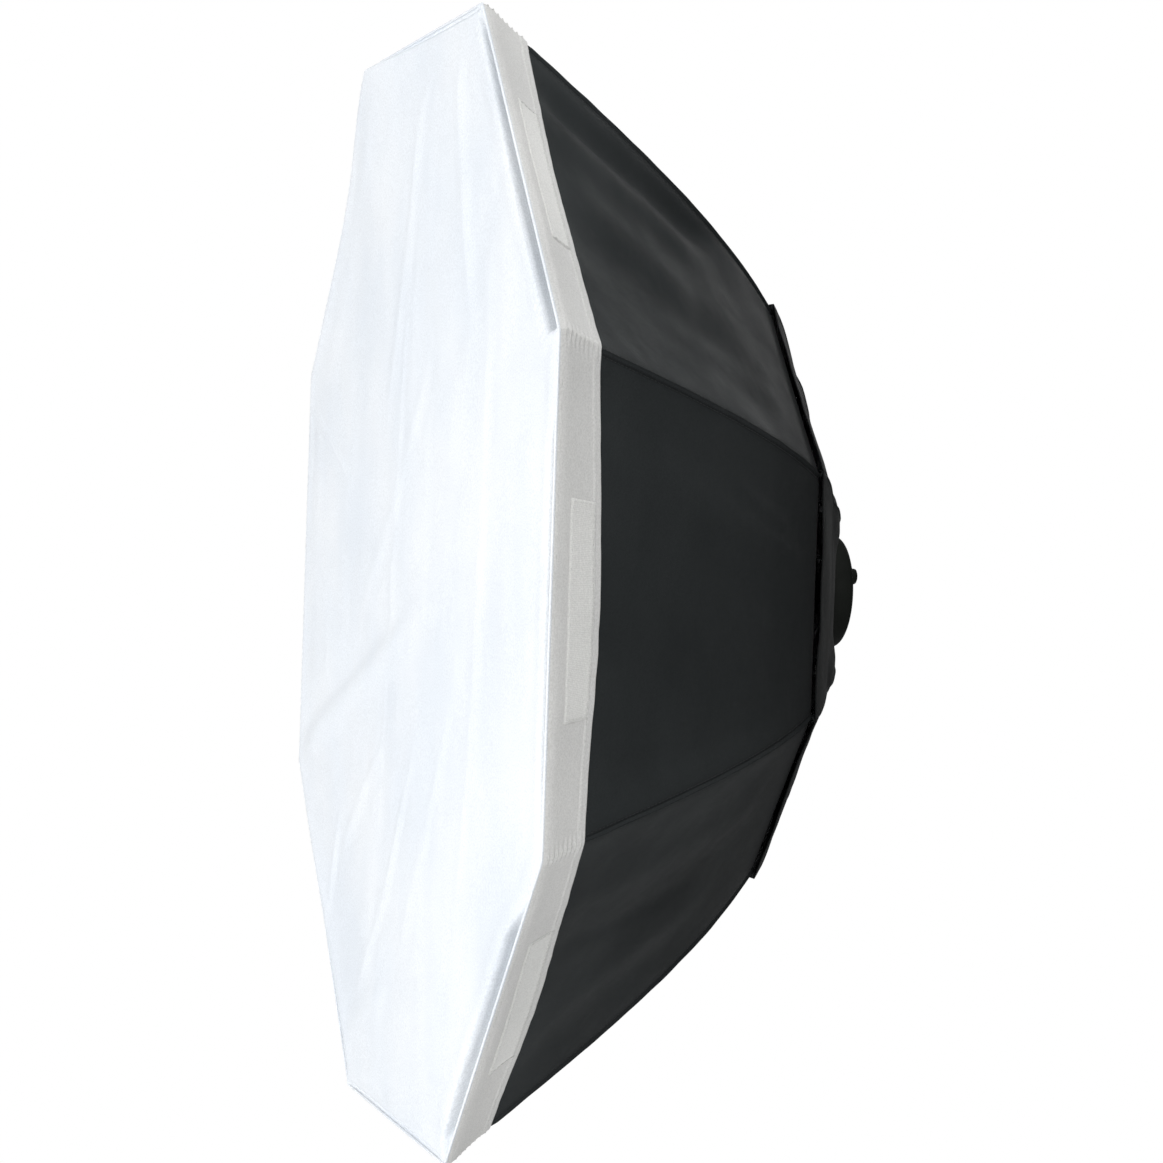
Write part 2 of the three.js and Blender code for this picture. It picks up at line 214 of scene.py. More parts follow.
def lathe(name, outline, materials, segments, centre=(0, 0)):
    """A turned piece about Y from (radius, y) corners, which start and end on the axis or else close."""
    faces = []
    points = []
    rings = []
    for radius, y in outline:
        if radius < 1e-7:
            rings.append([len(points)])
            points.append((centre[0], y, centre[1]))
            continue
        rings.append(list(range(len(points), len(points) + segments)))
        for i in range(segments):
            a = 2 * math.pi * i / segments
            points.append((centre[0] + radius * math.cos(a), y, centre[1] + radius * math.sin(a)))
    pairs = list(zip(rings, rings[1:]))
    if len(rings[0]) > 1 and len(rings[-1]) > 1:
        pairs.append((rings[-1], rings[0]))
    for a, b in pairs:
        for i in range(segments):
            j = (i + 1) % segments
            if len(a) == 1:
                faces.append((a[0], b[i], b[j]))
            elif len(b) == 1:
                faces.append((a[i], b[0], a[j]))
            else:
                faces.append((a[i], b[i], b[j], a[j]))
    obj = new_object(name, points, faces, materials)
    tidy_normals(obj)
    return obj


def tidy_normals(obj):
    """Turns all faces of a piece the same way, outward where it is closed."""
    work = bmesh.new()
    work.from_mesh(obj.data)
    bmesh.ops.recalc_face_normals(work, faces=work.faces)
    work.to_mesh(obj.data)
    work.free()


def tube(name, path, radius, materials, sides):
    """A round bar along a path of points, with closed ends."""
    path = [Vector(p) for p in path]
    points, faces = [], []
    side = None
    for i, here in enumerate(path):
        along = (path[min(i + 1, len(path) - 1)] - path[max(i - 1, 0)]).normalized()
        if side is None:
            side = along.orthogonal().normalized()
        side = (side - along * side.dot(along)).normalized()
        other = along.cross(side)
        for j in range(sides):
            a = 2 * math.pi * j / sides
            points.append(here + radius * (math.cos(a) * side + math.sin(a) * other))
    for i in range(len(path) - 1):
        for j in range(sides):
            k = (j + 1) % sides
            faces.append((i * sides + j, i * sides + k, (i + 1) * sides + k, (i + 1) * sides + j))
    faces.append(tuple(reversed(range(sides))))
    faces.append(tuple(range(len(points) - sides, len(points))))
    return new_object(name, points, faces, materials)


def read_off(at, run, values):
    """The vector that belongs to the place at, out of the vectors that belong to a run of places."""
    return np.array([np.interp(at, run, values[:, c]) for c in range(3)])


def stitches(name, path, normals, material, pitch, length, thread):
    """A row of short sewn stitches along a path that lies on the cloth, each a small bowed thread."""
    path = np.asarray(path, float)
    normals = np.asarray(normals, float)
    run = np.concatenate([[0], np.cumsum(np.linalg.norm(np.diff(path, axis=0), axis=1))])
    points, faces = [], []
    sides = 5
    steps = (-0.5, -0.25, 0.0, 0.25, 0.5)
    for i in range(int(run[-1] / pitch)):
        middle = (i + 0.5) * pitch
        base = len(points)
        for step in steps:
            at = middle + step * length
            here = read_off(at, run, path)
            up = read_off(at, run, normals)
            up /= np.linalg.norm(up)
            ahead = read_off(at + 0.2 * MM, run, path) - read_off(at - 0.2 * MM, run, path)
            along = ahead / max(np.linalg.norm(ahead), 1e-9)
            across = np.cross(along, up)
            lift = thread * (0.9 * math.cos(math.pi * step) - 0.15)
            width = thread * (0.55 + 0.45 * math.cos(math.pi * step))
            for j in range(sides):
                a = 2 * math.pi * j / sides
                points.append(here + up * (lift + width * math.sin(a)) + across * width * math.cos(a))
        for s in range(len(steps) - 1):
            for j in range(sides):
                k = (j + 1) % sides
                a, b = base + s * sides, base + (s + 1) * sides
                faces.append((a + j, a + k, b + k, b + j))
        faces.append(tuple(base + j for j in reversed(range(sides))))
        faces.append(tuple(base + (len(steps) - 1) * sides + j for j in range(sides)))
    return new_object(name, points, faces, [material])


def on_panel(k, length, share, out, height=0.0):
    """Points of the side between ribs k and k + 1. share runs 0 to 1 from one rib to the next.

    out is the distance from the rib's middle line, and height is added square to the side.
    """
    radius, y, out_radius, out_y = over_rib(length, out)
    steep = np.hypot(out_radius, out_y * math.cos(HALF))
    radial = radius * math.cos(HALF) + height * out_radius / steep
    depth = y + height * out_y * math.cos(HALF) / steep
    side = radius * math.sin(HALF) * (2 * share - 1)
    return turned(radial, side, depth, corner_angle(k) + HALF)


def side_of(length, share):
    """Metres from the middle of a side, for the places that on_panel takes."""
    return over_rib(length, 0)[0] * math.sin(HALF) * (2 * share - 1)


def grid(rows, columns):
    """Two flat arrays with every pair of a row value and a column value, row by row."""
    first, second = np.meshgrid(rows, columns, indexing="ij")
    return first.ravel(), second.ravel()


def smooth(x):
    """Runs from 0 to 1 without corners as x goes from 0 to 1."""
    x = np.clip(x, 0, 1)
    return x * x * (3 - 2 * x)


def finish_piece(obj, body, slot, *nodes):
    """Fixes a finished piece to its body, in place of the CAD nodes named."""
    if nodes:
        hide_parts(*nodes)
    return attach(obj, body)


# -------- materials

def new_material(name, **values):
    """A material with the values given on its shader's sockets."""
    made = bpy.data.materials.new(name)
    made.use_nodes = True
    shader = made.node_tree.nodes["Principled BSDF"]
    for key, value in values.items():
        shader.inputs[key.replace("_", " ")].default_value = value
    return made, made.node_tree, shader


def node(tree, kind, feeds=None, **settings):
    """A new shader node. feeds gives its inputs, as sockets to link or plain values."""
    made = tree.nodes.new(kind)
    for key, value in settings.items():
        setattr(made, key, value)
    for key, value in (feeds or {}).items():
        if isinstance(value, bpy.types.NodeSocket):
            tree.links.new(value, made.inputs[key])
        else:
            made.inputs[key].default_value = value
    return made


def mottle(tree, scale, detail=3.0, stretch=(1, 1, 1)):
    """Noise over the object, in features of about 1 / scale metres."""
    place = node(tree, "ShaderNodeTexCoord").outputs["Object"]
    laid = node(tree, "ShaderNodeMapping", {"Vector": place, "Scale": stretch}).outputs["Vector"]
    feeds = {"Vector": laid, "Scale": scale, "Detail": detail}
    return node(tree, "ShaderNodeTexNoise", feeds).outputs["Fac"]


def weave(tree, pitch):
    """Height of a plain weave whose threads lie pitch apart, on the cloth's own measure."""
    laid = node(tree, "ShaderNodeUVMap", uv_map="cloth").outputs["UV"]
    scale = 2 * math.pi / (20 * pitch)  # a wave texture of scale 1 has 20 bands in 2 pi
    bands = []
    for direction in ("X", "Y"):
        wave = node(tree, "ShaderNodeTexWave", {"Vector": laid, "Scale": scale}, bands_direction=direction)
        bands.append(wave.outputs["Fac"])
    return node(tree, "ShaderNodeMath", {0: bands[0], 1: bands[1]}, operation="MULTIPLY").outputs[0]


def between(tree, factor, low, high, start=0.35, end=0.65):
    """A number or colour that runs from low to high as factor goes from start to end."""
    ramp = node(tree, "ShaderNodeValToRGB", {"Fac": factor})
    for stop, place, value in zip(ramp.color_ramp.elements, (start, end), (low, high)):
        stop.position = place
        stop.color = (*value, 1) if hasattr(value, "__len__") else (value, value, value, 1)
    return ramp.outputs["Color"]


def mixed(tree, factor, first, second, blend="MIX"):
    """Two colours blended by the factor."""
    mix = node(tree, "ShaderNodeMix", data_type="RGBA", blend_type=blend)
    for socket, value in ((mix.inputs[0], factor), (mix.inputs[6], first), (mix.inputs[7], second)):
        if isinstance(value, bpy.types.NodeSocket):
            tree.links.new(value, socket)
        else:
            socket.default_value = value
    return mix.outputs[2]


def bumped(tree, shader, *layers):
    """Stacks (height, depth in metres) layers of bump on the shader."""
    normal = None
    for height, depth in layers:
        feeds = {"Height": height, "Distance": depth, "Strength": 1.0}
        if normal is not None:
            feeds["Normal"] = normal
        normal = node(tree, "ShaderNodeBump", feeds).outputs["Normal"]
    tree.links.new(normal, shader.inputs["Normal"])


def painted_shade_behind(tree, colour, share):
    """Painted shade: the colour, falling to a share of itself at the rear end of the cloth, in place of the
    light that falls off towards the back.
    """
    laid = node(tree, "ShaderNodeUVMap", uv_map="cloth").outputs["UV"]
    length = node(tree, "ShaderNodeSeparateXYZ", {"Vector": laid}).outputs["Y"]
    ends = {"Value": length, "From Min": SHELL_BACK, "From Max": RIB_LENGTH, "To Min": share, "To Max": 1.0}
    tone = node(tree, "ShaderNodeMapRange", ends).outputs[0]
    return mixed(tree, 1.0, colour, tone, "MULTIPLY")


def cloth_material(name, dark, light, rough, pitch, crinkle, rear=1.0, **values):
    """Woven cloth: uneven dye, painted shade in the low places of the weave, crinkles and uneven gloss, and
    painted shade towards the rear end where rear is given.
    """
    made, tree, shader = new_material(name, **values)
    broad = between(tree, mottle(tree, 7, 4), dark, light)
    # painted shade: where rear is below 1 the colour darkens towards the cloth's rear end
    if rear != 1.0:
        broad = painted_shade_behind(tree, broad, rear)
    grain = between(tree, mottle(tree, 900, 2), 0.86, 1.0)
    threads = weave(tree, pitch)
    # painted shade: the low places of the weave are darkened
    shade = between(tree, threads, 0.84, 1.0, 0.1, 0.9)
    colour = mixed(tree, 1.0, mixed(tree, 1.0, broad, grain, "MULTIPLY"), shade, "MULTIPLY")
    tree.links.new(colour, shader.inputs["Base Color"])
    tree.links.new(between(tree, mottle(tree, 25), *rough), shader.inputs["Roughness"])
    bumped(tree, shader, (mottle(tree, 55, 5), crinkle), (threads, 0.12 * pitch))
    return made


def moulded_material(name, dark, light, rough):
    """Moulded plastic: fine spark-eroded grain, uneven gloss and rubbed patches."""
    made, tree, shader = new_material(name, Specular_IOR_Level=0.07)
    colour = mixed(tree, between(tree, mottle(tree, 30), 0, 1), (*dark, 1), (*light, 1))
    tree.links.new(colour, shader.inputs["Base Color"])
    tree.links.new(between(tree, mottle(tree, 45, 4), *rough), shader.inputs["Roughness"])
    bumped(tree, shader, (mottle(tree, 2600, 2), 0.05 * MM), (mottle(tree, 60), 0.08 * MM))
    return made


def steel_material(name, dark, light, rough, metal=1.0, stretch=(1, 1, 1)):
    """Drawn or pressed steel: streaks of polish, a few dull spots and faint scratches."""
    made, tree, shader = new_material(name, Metallic=metal)
    colour = mixed(tree, between(tree, mottle(tree, 60, 5, stretch), 0, 1), (*dark, 1), (*light, 1))
    tree.links.new(colour, shader.inputs["Base Color"])
    tree.links.new(between(tree, mottle(tree, 180, 4, stretch), *rough), shader.inputs["Roughness"])
    bumped(tree, shader, (mottle(tree, 1500, 3, stretch), 0.02 * MM))
    return made


BLACK_SHEEN = {"Specular_IOR_Level": 0.04, "Sheen_Weight": 0.02, "Sheen_Roughness": 0.5}
WHITE_SHEEN = {"Specular_IOR_Level": 0.3, "Sheen_Weight": 0.15, "Sheen_Roughness": 0.4}


def make_materials():
    """All materials by name: colours dark and light, roughness, then what each kind needs."""
    return {
        # the shell cloth takes painted shade, darkening to 0.42 of its colour at its rear end
        "shell_nylon": cloth_material(
            "shell_nylon", (0.0245, 0.0280, 0.0292), (0.0370, 0.0415, 0.0430), (0.50, 0.62), 0.55 * MM,
            0.6 * MM, rear=0.42, **BLACK_SHEEN,
        ),
        "vent_nylon": cloth_material(
            "vent_nylon", (0.0085, 0.0095, 0.0097), (0.0155, 0.0168, 0.0165), (0.52, 0.66), 0.8 * MM,
            0.9 * MM, **BLACK_SHEEN,
        ),
        "silver_lining": cloth_material(
            "silver_lining", (0.52, 0.54, 0.56), (0.68, 0.70, 0.72), (0.32, 0.48), 0.55 * MM,
            0.5 * MM, Metallic=0.7,
        ),
        "diffuser_white": cloth_material(
            "diffuser_white", (0.755, 0.80, 0.855), (0.83, 0.86, 0.895), (0.62, 0.78), 0.4 * MM,
            0.35 * MM, **WHITE_SHEEN,
        ),
        "skirt_white": cloth_material(
            "skirt_white", (0.68, 0.68, 0.67), (0.75, 0.75, 0.735), (0.66, 0.82), 0.45 * MM, 0.5 * MM,
            **WHITE_SHEEN,
        ),
        "hook_tape": cloth_material(
            "hook_tape", (0.74, 0.745, 0.725), (0.83, 0.83, 0.81), (0.8, 0.95), 1.1 * MM,
            0.4 * MM, Specular_IOR_Level=0.2, Sheen_Weight=0.3, Sheen_Roughness=0.5,
        ),
        "white_thread": cloth_material(
            "white_thread", (0.66, 0.66, 0.64), (0.82, 0.82, 0.80), (0.5, 0.7), 0.3 * MM, 0.1 * MM,
        ),
        "black_thread": cloth_material(
            "black_thread", (0.012, 0.013, 0.014), (0.03, 0.032, 0.033), (0.45, 0.6), 0.3 * MM, 0.1 * MM,
        ),
        "moulded_cap": moulded_material(
            "moulded_cap", (0.0035, 0.0043, 0.0036), (0.0065, 0.0076, 0.0064), (0.55, 0.68),
        ),
        "moulded_black": moulded_material(
            "moulded_black", (0.010, 0.010, 0.011), (0.018, 0.018, 0.019), (0.38, 0.55),
        ),
        "rib_rod": steel_material(
            "rib_rod", (0.020, 0.021, 0.022), (0.05, 0.052, 0.054), (0.3, 0.5), metal=0.3,
        ),
        "shaft_steel": steel_material(
            "shaft_steel", (0.50, 0.51, 0.53), (0.66, 0.67, 0.69), (0.18, 0.34), stretch=(1, 0.05, 1),
        ),
        "stamped_steel": steel_material(
            "stamped_steel", (0.10, 0.105, 0.11), (0.2, 0.205, 0.21), (0.32, 0.5),
        ),
        "wire": steel_material("wire", (0.42, 0.43, 0.44), (0.6, 0.61, 0.62), (0.2, 0.36)),
    }


MATERIAL = make_materials()

# -------- white front: face, skirt, tape

SIDE = 2 * CORNER * math.sin(HALF)
TROUGH_SIDE, TROUGH_UPPER, TROUGH_MIDDLE = 7, 1, 8  # sides whose rolled edge stands back from the seam
SLACK_CORNER, SLACK_BULGE, SLACK_REACH = 3, 12 * MM, 110 * MM  # where the face hangs out loosely
RIM_WALL = 2.4 * MM  # width of the drop from the rolled rim down to its trough
RIM_BAND = 36 * MM  # along its edge the face has closer rows of points
PUCKER_PITCH = 6.5 * MM

# long creases of the face: start and end in its own (x, z), then width, height and bend in millimetres
FACE_FOLDS = [
    ((-0.37, -0.150), (0.02, -0.030), 13, 4.0, 6),
    ((-0.12, 0.335), (-0.30, 0.150), 16, 0.9, -12),
    ((0.02, 0.350), (-0.10, 0.100), 9, 1.0, 6),
    ((0.10, 0.360), (0.16, 0.160), 11, 1.4, -8),
    ((0.04, 0.150), (-0.16, -0.020), 8, 0.9, 8),
    ((-0.34, 0.120), (-0.20, 0.060), 4, 0.7, 2),
    ((-0.05, -0.110), (-0.20, -0.200), 7, 1.3, -6),
    ((0.03, -0.120), (-0.14, -0.300), 6, 1.2, 10),
    ((0.14, -0.060), (0.00, -0.260), 8, 0.9, 8),
    ((-0.18, -0.340), (-0.04, -0.290), 9, 2.0, 4),
    ((-0.22, -0.180), (-0.26, -0.330), 6, 1.1, -5),
    ((0.20, 0.200), (0.16, -0.240), 9, 0.7, 14),
    ((-0.02, 0.240), (-0.08, -0.160), 5, 0.5, -8),
]


def octagon_edge(x, z):
    """For points of the face: side number, metres in from its seam, and share of the way along it."""
    best, inward, share = None, None, None
    for k in range(1, SIDES + 1):
        middle = corner_angle(k) + HALF
        gap = CORNER * math.cos(HALF) - (x * math.cos(middle) + z * math.sin(middle))
        along = (-x * math.sin(middle) + z * math.cos(middle)) / SIDE + 0.5
        if best is None:
            best, inward, share = np.full(len(x), k), gap, along
            continue
        nearer = gap < inward
        best = np.where(nearer, k, best)
        inward = np.where(nearer, gap, inward)
        share = np.where(nearer, along, share)
    return best, inward, np.clip(share, 0, 1)


def rolled_edge(side, inward, share):
    """How far the face falls back between its rolled rim and the seam."""
    ends = smooth(np.minimum(share, 1 - share) / 0.08)
    width = np.full(len(inward), 4.0 * MM)
    depth = np.full(len(inward), 2.2 * MM)
    lower = smooth((0.88 - share) / 0.22) * (0.7 + 0.3 * smooth(share / 0.3))
    upper = smooth(share / 0.06) * (0.45 + 0.55 * smooth((1.0 - share) / 0.6))
    middle = smooth(share / 0.2) * smooth((0.84 - share) / 0.06)
    # side, where its trough grows, and the millimetres it adds to the width and depth
    for number, grows, wide, deep in (
        (TROUGH_SIDE, lower, 16, 10), (TROUGH_UPPER, upper, 14, 9), (TROUGH_MIDDLE, middle, 4, 4),
    ):
        here = side == number
        width = np.where(here, (3.0 + wide * grows) * MM, width)
        depth = np.where(here, (1.0 + deep * grows) * MM, depth)
    down = np.minimum(1.05 * inward, depth)
    rim = 1 - smooth((inward - width + 1 * MM) / RIM_WALL)
    return (0.3 + 0.7 * ends) * down * rim, width


def face_sheet():
    """The front cloth: broad waves, long creases and a rolled rim that falls back to the seam."""
    steps_round = 130
    plain = np.linspace(0.012, 1 - RIM_BAND / (CORNER * math.cos(HALF)), 58)
    rim = np.linspace(plain[-1], 1, 40)[1:]
    around = np.arange(SIDES * steps_round) / steps_round
    corner = [CORNER * np.array([math.cos(a), math.sin(a)]) for a in map(corner_angle, range(1, SIDES + 2))]
    ring = np.array([
        (1 - s % 1) * corner[int(s)] + (s % 1) * corner[int(s) + 1] for s in around
    ])
    outward = np.concatenate([plain, rim])
    x = np.append(np.outer(outward, ring[:, 0]).ravel(), 0)
    z = np.append(np.outer(outward, ring[:, 1]).ravel(), 0)
    points = np.stack([x, 0 * x, z], axis=1)
    side, inward, share = octagon_edge(x, z)
    back, width = rolled_edge(side, inward, share)
    held = smooth(inward / (60 * MM))
    height = 4.5 * MM * held * waves(points, 3.1, 1) + 1.3 * MM * held * waves(points, 9, 2)
    height += 0.5 * MM * held * waves(points * np.array([3.0, 1, 0.6]), 12, 3)
    for crease in FACE_FOLDS:
        height += held * fold(x, z, *crease)
    height += rim_puckers(side, inward, share, width)
    height += 3.2 * MM * smooth((-x - 0.18) / 0.15) * smooth(inward / (9 * MM))
    height += 1.0 * MM * ridge(inward - width - 9 * MM, 9 * MM)
    slack = corner[SLACK_CORNER - 1]
    from_corner = np.hypot(x - slack[0], z - slack[1])
    height += SLACK_BULGE * ridge(from_corner, SLACK_REACH) * smooth(inward / (9 * MM))
    points[:, 1] = FRONT - height + back
    faces = grid_faces(len(outward), len(ring), closed=True)
    faces += [((j + 1) % len(ring), j, len(points) - 1) for j in range(len(ring))]
    made = new_object("face_sheet", points, faces, [MATERIAL["diffuser_white"]], uv=points[:, [0, 2]])
    tidy_normals(made)
    thicken(made, THIN_CLOTH, offset=1.0)
    return apply_modifiers(made)


def rim_puckers(side, inward, share, width):
    """Small gathers along the rolled rim, strongest where it stands back from the seam."""
    along = share * SIDE
    strength = np.where(side == TROUGH_SIDE, 1.0, np.where(side == TROUGH_UPPER, 0.8, 0.25))
    places = list(zip(along, side))
    drift = 0.9 * np.array([noise.noise(Vector((a * 28, 3.1 * s, 0.0))) for a, s in places])
    uneven = 0.6 + 0.9 * np.array([noise.noise(Vector((a * 45, 7.7 * s, 5.0))) for a, s in places])
    near = ridge(inward - width - 1.5 * MM, 7 * MM)
    return 1.0 * MM * strength * uneven * near * np.sin(2 * math.pi * along / PUCKER_PITCH + 5 * drift)


# how far the skirt's back edge bows rearward at the middle of each side, in millimetres
BOW = {1: -3.5, 2: 2, 3: 4, 4: 1, 5: 3, 6: -1, 7: 5.5, 8: 7}

HEM_WIDTH = 7 * MM  # the doubled cloth along the skirt's back edge
ROLL_BACK = 6 * MM  # the skirt stands fullest this far behind the face
LADDER_START = 3.5 * MM
LADDER_PITCH = 4.4 * MM  # between the threads that close a corner seam of the skirt
TIGHT_CORNERS = (1, 8)  # where those threads are pulled hardest


def skirt_height(k, back, share):
    """How far the skirt stands out from its flat: full near the front, gathered at the corner seams."""
    side = (share - 0.5) * SIDE
    rolled = 2.0 * MM * back / ROLL_BACK * np.exp(1 - back / ROLL_BACK)
    corner_gap = np.minimum(share, 1 - share) * SIDE
    gather = np.cos(2 * math.pi * (back - LADDER_START) / LADDER_PITCH) * ridge(corner_gap - 2 * MM, 5 * MM)
    corner = np.where(share < 0.5, k, k % SIDES + 1)
    gather *= np.where(np.isin(corner, TIGHT_CORNERS), 1.0, 0.3)
    sunk = ridge(corner_gap, 2.2 * MM)
    drift = np.array([noise.noise(Vector((s * 11, b * 9, 2.3 * k))) for s, b in zip(side, back)])
    creases = np.array([noise.noise(Vector((s * 70, b * 22, 5.1 * k))) for s, b in zip(side, back)])
    hem = 0.45 * MM * smooth((back - (SKIRT_LENGTH - HEM_WIDTH)) / (1.2 * MM))
    held = smooth(back / ROLL_BACK)
    uneven = 1.7 * MM * drift + 0.45 * MM * creases + 0.3 * MM * gather
    return rolled + hem + held * uneven - 0.3 * MM * sunk


def on_skirt(k, back, share, above=0.0):
    """Points of the skirt, back metres behind the face along the side."""
    bow = BOW[k] * MM * np.sin(np.pi * share) ** 1.5 * smooth(back / SKIRT_LENGTH)
    return on_panel(k, RIB_LENGTH - back - bow, share, RIB_INSET, skirt_height(k, back, share) + above)


def skirt_strip():
    """The white band behind the face, all the way round."""
    back = np.linspace(0.6 * MM, SKIRT_LENGTH, 64)
    across = np.linspace(0, 1, 151)[:-1]
    points = []
    uv = []
    for k in range(1, SIDES + 1):
        share, behind = grid(across, back)
        points.append(on_skirt(k, behind, share))
        uv.append(np.stack([(k + share) * SIDE, behind], axis=1))
    points = np.concatenate(points)
    rows = SIDES * len(across)
    faces = []
    for i in range(rows):
        j = (i + 1) % rows
        for c in range(len(back) - 1):
            a, b = i * len(back) + c, j * len(back) + c
            faces.append((a, b, b + 1, a + 1))
    made = new_object("skirt_strip", points, faces, [MATERIAL["skirt_white"]], uv=np.concatenate(uv))
    tidy_normals(made)
    thicken(made, THICK_CLOTH)
    return apply_modifiers(made)


def seam_piping():
    """The rounded seam between face and skirt."""
    path = []
    for k in range(1, SIDES + 1):
        for share in np.linspace(0, 1, 60, endpoint=False):
            path.append(on_skirt(k, np.array([0.3 * MM]), np.array([share]), -0.4 * MM)[0])
    points, faces = [], []
    ring, radius = 8, 1.0 * MM
    for i, here in enumerate(path):
        ahead = path[(i + 1) % len(path)] - path[i - 1]
        ahead /= np.linalg.norm(ahead)
        away = np.array([here[0], 0, here[2]])
        away -= ahead * away.dot(ahead)
        away /= np.linalg.norm(away)
        other = np.cross(ahead, away)
        for j in range(ring):
            a = 2 * math.pi * j / ring
            points.append(here + radius * (math.cos(a) * away + math.sin(a) * other))
    for i in range(len(path)):
        for j in range(ring):
            p, q = i * ring, ((i + 1) % len(path)) * ring
            n = (j + 1) % ring
            faces.append((p + j, q + j, q + n, p + n))
    made = new_object("seam_piping", points, faces, [MATERIAL["diffuser_white"]])
    tidy_normals(made)
    return made


TAPE_WIDTH = 20 * MM
TAPE_LENGTH = 134 * MM
TAPE_START = 13 * MM  # from the face to the tape, along the skirt
TAPE_SHIFT = {8: -9 * MM}  # along the side, for the tapes not sewn at its middle


def tape_middle(k):
    """Share of the way along side k at which the middle of its tape lies."""
    return 0.5 + TAPE_SHIFT.get(k, 0) / SIDE


def tape_patch(k):
    """A strip of hook tape lying on the skirt of side k."""
    rows, columns = 9, 61
    deep, along = grid(np.linspace(0, 1, rows), np.linspace(0, 1, columns))
    back = TAPE_START + deep * TAPE_WIDTH
    share = tape_middle(k) + (along - 0.5) * TAPE_LENGTH / SIDE
    points = on_skirt(k, back, share, 0.35 * MM)
    faces = grid_faces(rows, columns)
    uv = np.stack([share * SIDE, back], axis=1)
    made = new_object(f"tape_patch_{k}", points, faces, [MATERIAL["hook_tape"]], uv=uv)
    tidy_normals(made)
    thicken(made, THIN_CLOTH)
    return apply_modifiers(made)


def sewn_row(k, places, above, pitch):
    """Stitches along (back, share) places on the skirt of side k."""
    back, share = (np.array(values, float) for values in zip(*places))
    steps = np.linspace(0, len(places) - 1, 60)
    back = np.interp(steps, range(len(places)), back)
    share = np.interp(steps, range(len(places)), share)
    path = on_skirt(k, back, share, above)
    normals = on_skirt(k, back, share, above + 1 * MM) - path
    return stitches("row", path, normals, MATERIAL["white_thread"], pitch, 0.66 * pitch, 0.22 * MM)


def skirt_sewing(k):
    """Tape and hem stitching and the corner seam's ladder for one side, as one object."""
    inset = 1.5 * MM
    ends = [tape_middle(k) + s * (TAPE_LENGTH / 2 - inset) / SIDE for s in (-1, 1)]
    near, far = TAPE_START + inset, TAPE_START + TAPE_WIDTH - inset
    box = [(near, ends[0]), (near, ends[1]), (far, ends[1]), (far, ends[0]), (near, ends[0])]
    on_tape, on_cloth = 0.45 * MM, 0.05 * MM
    rows = [sewn_row(k, [start, end], on_tape, 3.6 * MM) for start, end in zip(box, box[1:])]
    left, right = 0.012, 0.988
    hem, front = SKIRT_LENGTH - 5.5 * MM, 2.5 * MM
    rows.append(sewn_row(k, [(hem, left), (hem, 0.5), (hem, right)], on_cloth, 3.2 * MM))
    rows.append(sewn_row(k, [(front, left), (front, right)], on_cloth, 3.2 * MM))
    ladder = np.arange(LADDER_START, SKIRT_LENGTH - 1 * MM, LADDER_PITCH)
    rows += [corner_stitch(k, back) for back in ladder]
    return joined(f"skirt_sewing_{k}", rows)


def corner_stitch(k, back):
    """One thread of the ladder that closes the skirt's corner seam at rib k."""
    before = (k - 2) % SIDES + 1
    reach = 3.4 * MM / SIDE
    thread = 0.3 * MM
    path = []
    for side, share, above in (
        (before, 1 - reach, -0.4), (before, 1 - 0.6 * reach, 0.1), (before, 1 - 0.1 * reach, 0.2),
        (k, 0.1 * reach, 0.2), (k, 0.6 * reach, 0.1), (k, reach, -0.4),
    ):
        path.append(on_skirt(side, np.array([back]), np.array([share]), above * MM)[0])
    return tube("stitch", path, thread, [MATERIAL["white_thread"]], sides=6)


def joined(name, pieces):
    """One object out of several that share their materials."""
    work = bmesh.new()
    for piece in pieces:
        work.from_mesh(piece.data)
    materials = list(pieces[0].data.materials)
    mesh = bpy.data.meshes.new(name)
    work.to_mesh(mesh)
    work.free()
    for material in materials:
        mesh.materials.append(material)
    for piece in pieces:
        bpy.data.objects.remove(piece)
    made = bpy.data.objects.new(name, mesh)
    bpy.context.collection.objects.link(made)
    return made


def build_front():
    """The white front: two sheets, with the pieces that are sewn to them."""
    face = finish_piece(face_sheet(), "diffuser", "diffuser_white", "front_diffuser")
    skirt = finish_piece(skirt_strip(), "diffuser", "skirt_white", "front_skirt")
    piping = finish_piece(seam_piping(), "diffuser", "diffuser_white")
    for k in range(1, SIDES + 1):
        finish_piece(tape_patch(k), "diffuser", "hook_tape")
        finish_piece(skirt_sewing(k), "diffuser", "skirt_white")


# -------- black shell and rear cover

# creases of the shell's sides: start and end, each as metres from the middle and metres behind the
# face, then width, height and bend in millimetres
SHELL_FOLDS = {
    8: [
        ((0.085, 0.075), (0.020, 0.285), 16, 2.2, 4),
        ((0.070, 0.180), (0.045, 0.250), 5, 0.8, 1),
        ((0.035, 0.230), (0.020, 0.290), 5, 0.9, 1),
        ((-0.110, 0.060), (-0.070, 0.240), 14, -2.6, 4),
    ],
    1: [
        ((0.020, 0.045), (-0.015, 0.270), 26, 3.5, 8),
        ((0.108, 0.040), (0.075, 0.215), 17, -6.5, 5),
        ((-0.060, 0.120), (-0.045, 0.270), 12, 1.2, -3),
    ],
    7: [
        ((0.075, 0.050), (0.030, 0.270), 22, 3.2, 5),
        ((-0.060, 0.050), (-0.040, 0.220), 18, 2.4, -6),
        ((0.020, 0.060), (-0.010, 0.200), 9, -1.2, 3),
    ],
}


